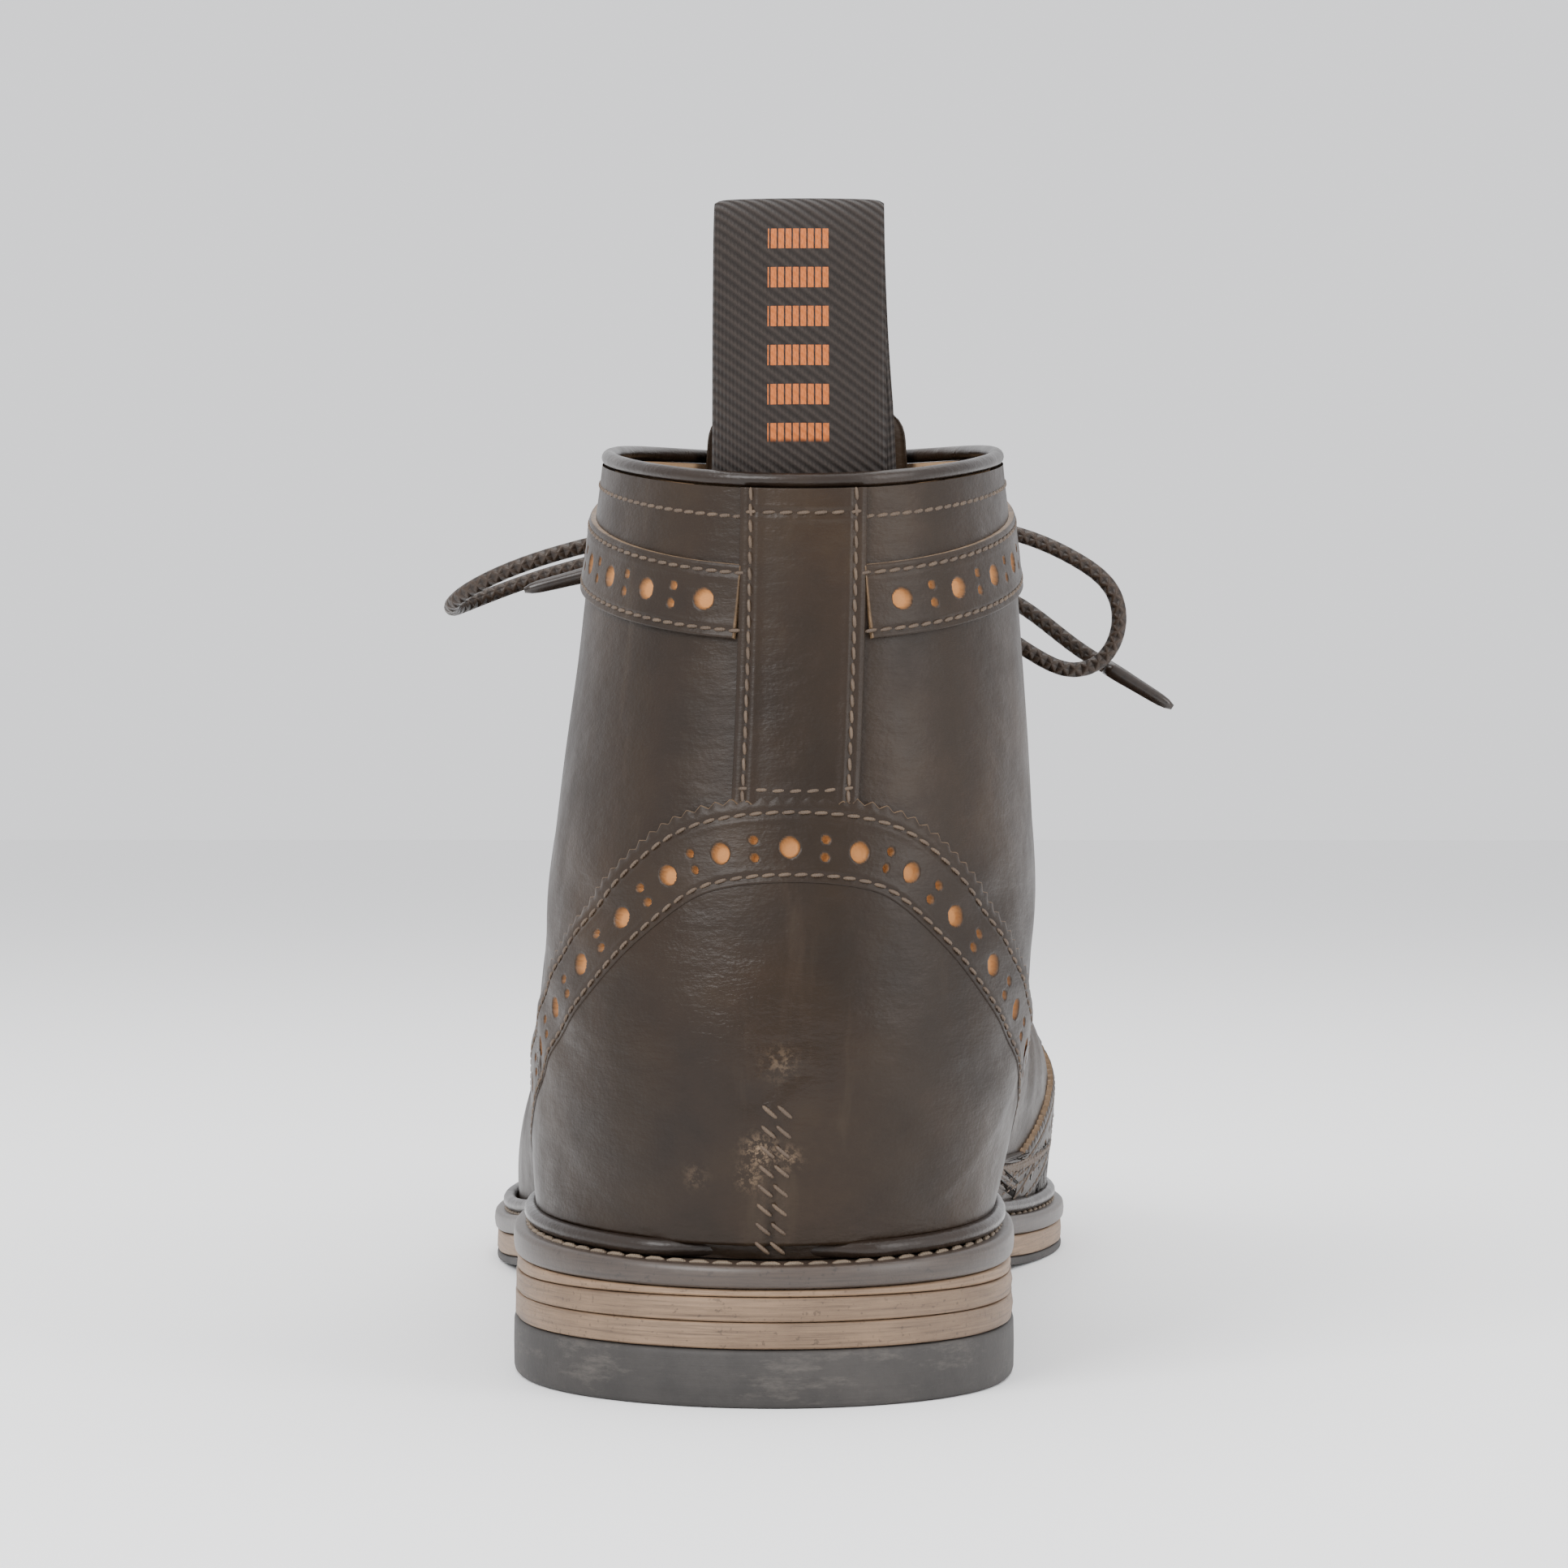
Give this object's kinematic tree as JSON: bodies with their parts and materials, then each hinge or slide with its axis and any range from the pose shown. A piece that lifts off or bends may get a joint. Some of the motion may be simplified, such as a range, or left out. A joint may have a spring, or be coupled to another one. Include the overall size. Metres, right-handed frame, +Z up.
{
  "type": "ankle boot",
  "caption": "Left lace-up brogue ankle boot in dark waxed leather, with a welted leather sole, stacked heel, laces tied in a bow and a webbing pull loop at the back.",
  "frame": {"origin": "middle of the heel's ground face", "axes": "+Z up from the ground, +Y towards the toe, +X towards the inner side of the foot"},
  "size_m": [0.1314, 0.307, 0.1802],
  "materials": {
    "waxed_leather": "waxed satin",
    "welt_leather": "satin",
    "stacked_leather": "matte",
    "lining_leather": "matte",
    "heel_rubber": "matte",
    "antique_brass": "satin",
    "webbing": "matte",
    "waxed_cord": "satin"
  },
  "bodies": {
    "root": {"welt": "welt_leather", "welt_bead": "welt_leather", "leather_sole": "stacked_leather", "lower_lift": "stacked_leather", "upper_lift": "stacked_leather", "top_piece": "heel_rubber", "forepart_rubber": "heel_rubber", "insole": "lining_leather", "upper": "waxed_leather", "tongue": "waxed_leather", "toe_cap": "waxed_leather", "heel_counter": "waxed_leather", "back_strip": "waxed_leather", "collar_band_outer": "waxed_leather", "collar_band_inner": "waxed_leather", "facing_outer": "waxed_leather", "facing_inner": "waxed_leather", "topline_binding": "waxed_leather", "eyelet_outer_1": "antique_brass", "eyelet_outer_2": "antique_brass", "eyelet_outer_3": "antique_brass", "eyelet_outer_4": "antique_brass", "eyelet_outer_5": "antique_brass", "eyelet_outer_6": "antique_brass", "eyelet_inner_1": "antique_brass", "eyelet_inner_2": "antique_brass", "eyelet_inner_3": "antique_brass", "eyelet_inner_4": "antique_brass", "eyelet_inner_5": "antique_brass", "eyelet_inner_6": "antique_brass", "pull_loop": "webbing", "lacing": "waxed_cord", "bow_knot": "waxed_cord", "bow_loop_outer": "waxed_cord", "bow_loop_inner": "waxed_cord", "lace_end_outer": "waxed_cord", "lace_end_inner": "waxed_cord", "aglet_outer": "waxed_cord", "aglet_inner": "waxed_cord"}
  },
  "joints": []
}
